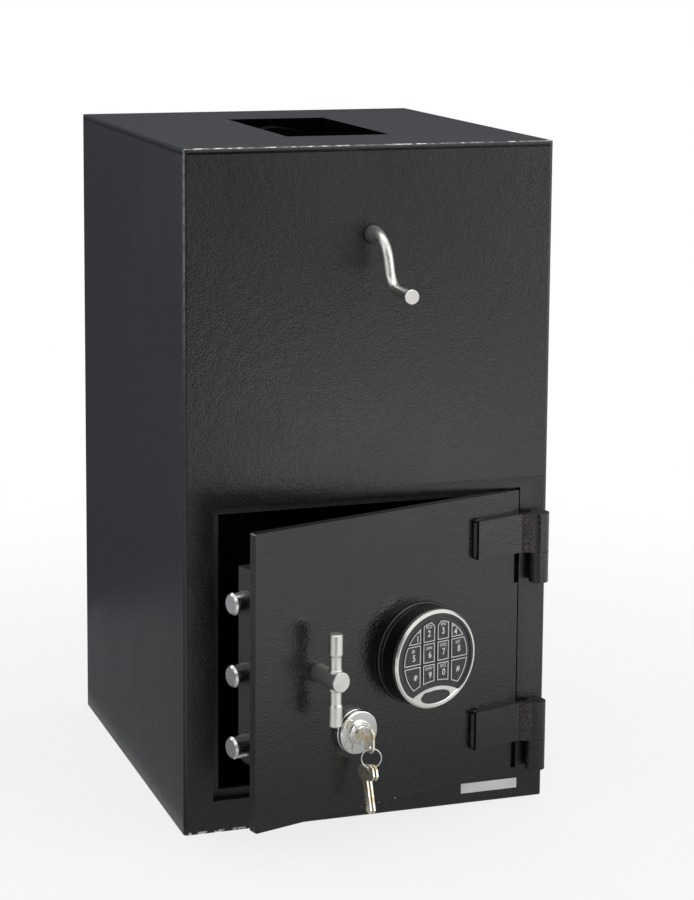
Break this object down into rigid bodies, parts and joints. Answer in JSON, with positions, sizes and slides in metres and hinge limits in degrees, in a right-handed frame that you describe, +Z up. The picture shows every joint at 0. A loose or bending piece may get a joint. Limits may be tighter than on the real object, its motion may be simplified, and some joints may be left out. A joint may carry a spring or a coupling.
{
  "type": "rotary hopper deposit safe",
  "caption": "Upright steel deposit safe with a crank-turned rotary hopper in its top and a bolted lower door with a T handle, keypad and key lock.",
  "frame": {"origin": "centre of the underside of the steel body", "axes": "+X to the right as seen from the front, +Y from the door towards the back, +Z up"},
  "size_m": [0.386, 0.5522, 0.686],
  "materials": {
    "black_coating": "textured gloss powder coat",
    "inner_paint": "satin",
    "bright_steel": "satin, turned",
    "chrome": "polished",
    "zinc_steel": "zinc plated",
    "brass": "machined",
    "key_metal": "nickel worn to brass",
    "black_plastic": "moulded gloss",
    "bezel_metal": "satin",
    "grey_plastic": "moulded matt",
    "circuit_board": "solder mask"
  },
  "bodies": {
    "safe": {"body_shell": "black_coating", "top_plate": "black_coating", "door_frame": "black_coating", "stop_frame": "inner_paint", "strike_bar": "zinc_steel", "body_knuckles": "black_coating", "hinge_pins": "bright_steel", "chute_collar": "inner_paint", "drum_guards": "inner_paint", "hanger_plates": "inner_paint", "drum_bushings": "brass", "shaft_guide": "inner_paint"},
    "drum": {"drum_shell": "inner_paint", "drum_ends": "inner_paint", "front_shaft": "bright_steel", "rear_shaft": "bright_steel", "shaft_collar": "zinc_steel", "crank": "bright_steel", "crank_cap": "bright_steel"},
    "door": {"door_plate": "black_coating", "upper_leaf": "black_coating", "lower_leaf": "black_coating", "bolt_cover": "inner_paint", "cover_screws": "zinc_steel", "dead_bar": "inner_paint", "handle_bushing": "brass", "bar_guide": "zinc_steel", "lock_case": "zinc_steel", "key_rose": "chrome", "lock_cylinder": "chrome", "pad_base": "black_plastic", "pad_housing": "black_plastic", "pad_bezel": "bezel_metal", "pad_face": "grey_plastic", "pad_board": "circuit_board", "pad_battery": "black_plastic"},
    "handle": {"handle_shaft": "bright_steel", "cross_bar": "bright_steel", "handle_cam": "zinc_steel"},
    "boltwork": {"carry_bar": "zinc_steel", "locking_bolts": "chrome"},
    "lock_bolt": {"lock_bolt": "brass"},
    "key_plug": {"key_plug": "brass", "plug_lever": "zinc_steel"},
    "door_key": {"door_key": "key_metal"},
    "key_ring": {"key_ring": "zinc_steel"},
    "spare_key_front": {"spare_key_front": "key_metal"},
    "spare_key_back": {"spare_key_back": "key_metal"},
    "button_1": {"button_1": "grey_plastic"},
    "button_2": {"button_2": "grey_plastic"},
    "button_3": {"button_3": "grey_plastic"},
    "button_4": {"button_4": "grey_plastic"},
    "button_5": {"button_5": "grey_plastic"},
    "button_6": {"button_6": "grey_plastic"},
    "button_7": {"button_7": "grey_plastic"},
    "button_8": {"button_8": "grey_plastic"},
    "button_star": {"button_star": "grey_plastic"},
    "button_9": {"button_9": "grey_plastic"},
    "button_0": {"button_0": "grey_plastic"},
    "button_hash": {"button_hash": "grey_plastic"}
  },
  "joints": [
    {"name": "drum_turn", "type": "hinge", "parent": "safe", "child": "drum", "pos_m": [0, -0.0015, 0.598], "axis": [0, 1, 0], "continuous": true},
    {"name": "door_swing", "type": "hinge", "parent": "safe", "child": "door", "pos_m": [0.1805, -0.2265, 0.266], "axis": [0, 0, 1], "range_deg": [-17, 163]},
    {"name": "handle_turn", "type": "hinge", "parent": "door", "child": "handle", "pos_m": [-0.08029, -0.29525, 0.182], "axis": [-0.2924, 0.9563, 0], "range_deg": [0, 90]},
    {"name": "bolt_slide", "type": "slide", "parent": "door", "child": "boltwork", "axis": [0.9563, 0.2924, 0], "range_m": [0, 0.018]},
    {"name": "lock_bolt_slide", "type": "slide", "parent": "door", "child": "lock_bolt", "axis": [0, 0, 1], "range_m": [-0.01, 0]},
    {"name": "key_turn", "type": "hinge", "parent": "door", "child": "key_plug", "pos_m": [-0.03822, -0.28239, 0.1155], "axis": [-0.2924, 0.9563, 0], "range_deg": [-90, 0]},
    {"name": "key_withdraw", "type": "slide", "parent": "key_plug", "child": "door_key", "axis": [0.2924, -0.9563, 0], "range_m": [0, 0.034]},
    {"name": "ring_swing", "type": "hinge", "parent": "door_key", "child": "key_ring", "pos_m": [-0.02965, -0.31041, 0.1047], "axis": [0.9563, 0.2924, 0], "range_deg": [-12, 12]},
    {"name": "spare_key_front_swing", "type": "hinge", "parent": "key_ring", "child": "spare_key_front", "pos_m": [-0.02965, -0.31041, 0.0851], "axis": [0.9563, 0.2924, 0], "range_deg": [-12, 12]},
    {"name": "spare_key_back_swing", "type": "hinge", "parent": "key_ring", "child": "spare_key_back", "pos_m": [-0.02965, -0.31041, 0.0851], "axis": [0.9563, 0.2924, 0], "range_deg": [-12, 12]},
    {"name": "press_button_1", "type": "slide", "parent": "door", "child": "button_1", "axis": [-0.2924, 0.9563, 0], "range_m": [0, 0.0008], "stiffness_N_per_m": 600, "springref_m": -0.0005},
    {"name": "press_button_2", "type": "slide", "parent": "door", "child": "button_2", "axis": [-0.2924, 0.9563, 0], "range_m": [0, 0.0008], "stiffness_N_per_m": 600, "springref_m": -0.0005},
    {"name": "press_button_3", "type": "slide", "parent": "door", "child": "button_3", "axis": [-0.2924, 0.9563, 0], "range_m": [0, 0.0008], "stiffness_N_per_m": 600, "springref_m": -0.0005},
    {"name": "press_button_4", "type": "slide", "parent": "door", "child": "button_4", "axis": [-0.2924, 0.9563, 0], "range_m": [0, 0.0008], "stiffness_N_per_m": 600, "springref_m": -0.0005},
    {"name": "press_button_5", "type": "slide", "parent": "door", "child": "button_5", "axis": [-0.2924, 0.9563, 0], "range_m": [0, 0.0008], "stiffness_N_per_m": 600, "springref_m": -0.0005},
    {"name": "press_button_6", "type": "slide", "parent": "door", "child": "button_6", "axis": [-0.2924, 0.9563, 0], "range_m": [0, 0.0008], "stiffness_N_per_m": 600, "springref_m": -0.0005},
    {"name": "press_button_7", "type": "slide", "parent": "door", "child": "button_7", "axis": [-0.2924, 0.9563, 0], "range_m": [0, 0.0008], "stiffness_N_per_m": 600, "springref_m": -0.0005},
    {"name": "press_button_8", "type": "slide", "parent": "door", "child": "button_8", "axis": [-0.2924, 0.9563, 0], "range_m": [0, 0.0008], "stiffness_N_per_m": 600, "springref_m": -0.0005},
    {"name": "press_button_star", "type": "slide", "parent": "door", "child": "button_star", "axis": [-0.2924, 0.9563, 0], "range_m": [0, 0.0008], "stiffness_N_per_m": 600, "springref_m": -0.0005},
    {"name": "press_button_9", "type": "slide", "parent": "door", "child": "button_9", "axis": [-0.2924, 0.9563, 0], "range_m": [0, 0.0008], "stiffness_N_per_m": 600, "springref_m": -0.0005},
    {"name": "press_button_0", "type": "slide", "parent": "door", "child": "button_0", "axis": [-0.2924, 0.9563, 0], "range_m": [0, 0.0008], "stiffness_N_per_m": 600, "springref_m": -0.0005},
    {"name": "press_button_hash", "type": "slide", "parent": "door", "child": "button_hash", "axis": [-0.2924, 0.9563, 0], "range_m": [0, 0.0008], "stiffness_N_per_m": 600, "springref_m": -0.0005}
  ],
  "couplings": [
    {"joint": "bolt_slide", "follows": "handle_turn", "m_per_rad": 0.011459}
  ]
}
